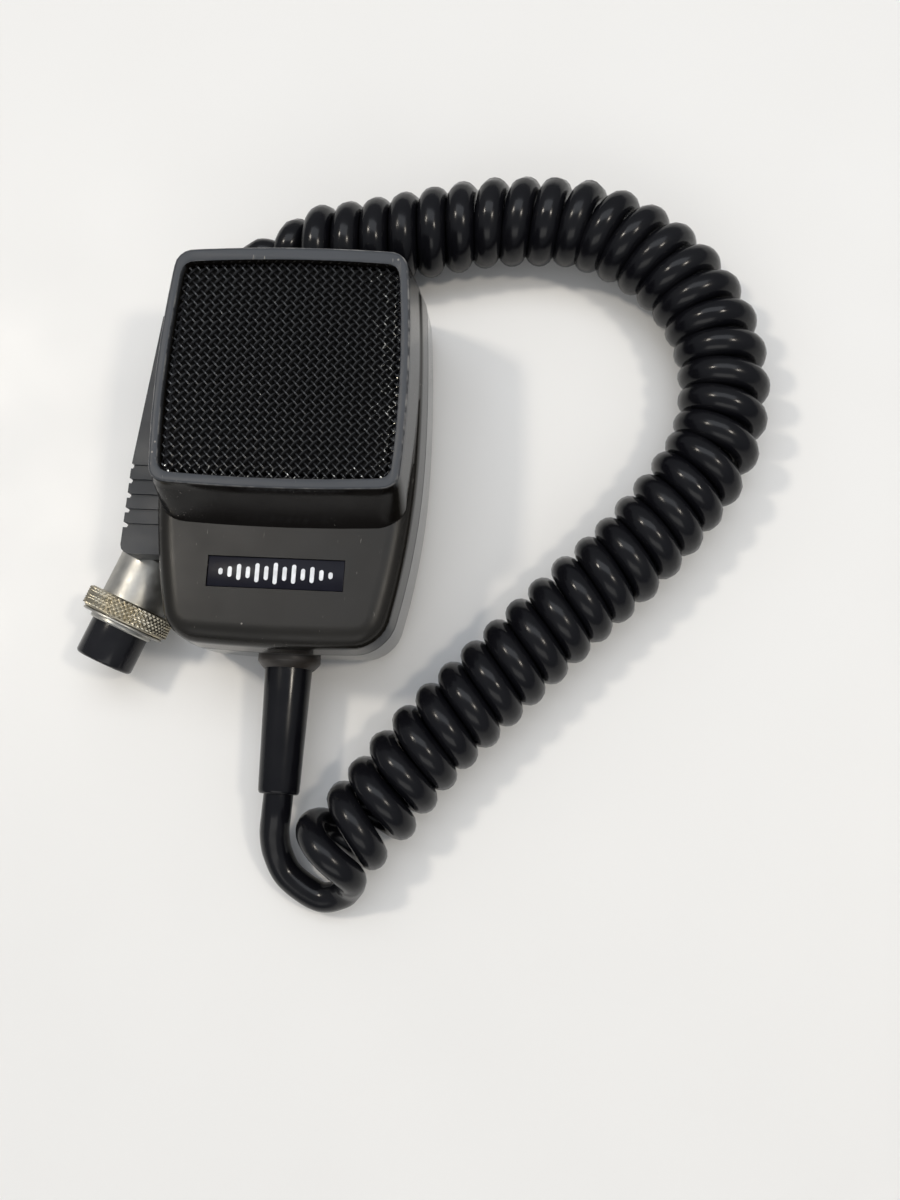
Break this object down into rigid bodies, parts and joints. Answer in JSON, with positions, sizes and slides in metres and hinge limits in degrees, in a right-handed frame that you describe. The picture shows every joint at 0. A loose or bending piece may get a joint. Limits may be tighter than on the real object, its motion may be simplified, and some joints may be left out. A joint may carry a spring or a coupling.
{
  "type": "hand microphone",
  "caption": "Hand microphone with a push-to-talk lever, wire cloth grille, curly cord and a round screw-on plug.",
  "frame": {"origin": "middle of the case's flat back face, on the surface that the microphone lies on", "axes": "+Z out of the grille, +Y to the grille end, +X to the side away from the push-to-talk lever"},
  "size_m": [0.1431, 0.1589, 0.037],
  "materials": {
    "case_plastic": "satin, slightly worn",
    "black_plastic": "glossy",
    "mesh_wire": "black, worn at the crossings",
    "foam": "open foam",
    "badge": "glossy",
    "capsule_metal": "satin",
    "rubber": "dull",
    "steel": "zinc plated",
    "switch_plastic": "moulded",
    "switch_red": "moulded",
    "brass": "plated",
    "board": "phenolic laminate",
    "board_part": "component bodies",
    "wire": "insulated hook-up wire",
    "cord_jacket": "glossy black jacket",
    "nickel": "satin nickel, aged",
    "plate": "blank foil plate"
  },
  "bodies": {
    "case": {"front_case": "case_plastic", "rear_case": "case_plastic", "grille_mesh": "mesh_wire", "grille_foam": "foam", "grille_frame": "black_plastic", "badge_plate": "badge", "mic_capsule": "capsule_metal", "capsule_gasket": "rubber", "capsule_strap": "steel", "strap_screws": "steel", "lever_pin": "steel", "plunger_spring": "steel", "switch_body": "switch_plastic", "switch_terminals": "brass", "switch_screws": "steel", "terminal_board": "board", "board_screws": "steel", "board_parts": "board_part", "inner_leads": "wire", "cord_clamp": "steel", "clamp_screws": "steel", "case_screws": "steel", "hang_button": "nickel", "button_screw": "steel", "rating_plate": "plate", "cord_bush": "case_plastic", "cord_boot": "cord_jacket", "cord_entry": "cord_jacket", "cord_lead": "cord_jacket", "cord_coil": "cord_jacket", "cord_tail": "cord_jacket", "plug_barrel": "nickel", "plug_insert": "black_plastic", "plug_contacts": "brass", "plug_clamp": "nickel", "plug_clamp_screws": "steel", "plug_set_screw": "steel"},
    "lever": {"ptt_lever": "case_plastic"},
    "plunger": {"switch_plunger": "switch_red"},
    "collar": {"ring_washer": "nickel"},
    "ring": {"coupling_ring": "nickel"}
  },
  "joints": [
    {"name": "ptt_press", "type": "hinge", "parent": "case", "child": "lever", "pos_m": [-0.0225, 0.0285, 0.0198], "axis": [0, 0, 1], "range_deg": [0, 4], "stiffness_Nm_per_rad": 0.6, "springref_deg": -5.73},
    {"name": "plunger_slide", "type": "slide", "parent": "case", "child": "plunger", "axis": [1, 0, 0], "range_m": [0, 0.0019], "deforming": ["plunger_spring"]},
    {"name": "collar_slide", "type": "slide", "parent": "case", "child": "collar", "axis": [-0.3746, -0.9272, 0], "range_m": [0, 0.005]},
    {"name": "ring_turn", "type": "hinge", "parent": "collar", "child": "ring", "pos_m": [-0.03598, -0.03176, 0.0095], "axis": [-0.3746, -0.9272, 0], "continuous": true}
  ],
  "couplings": [
    {"joint": "plunger_slide", "follows": "ptt_press", "m_per_rad": 0.0265}
  ]
}
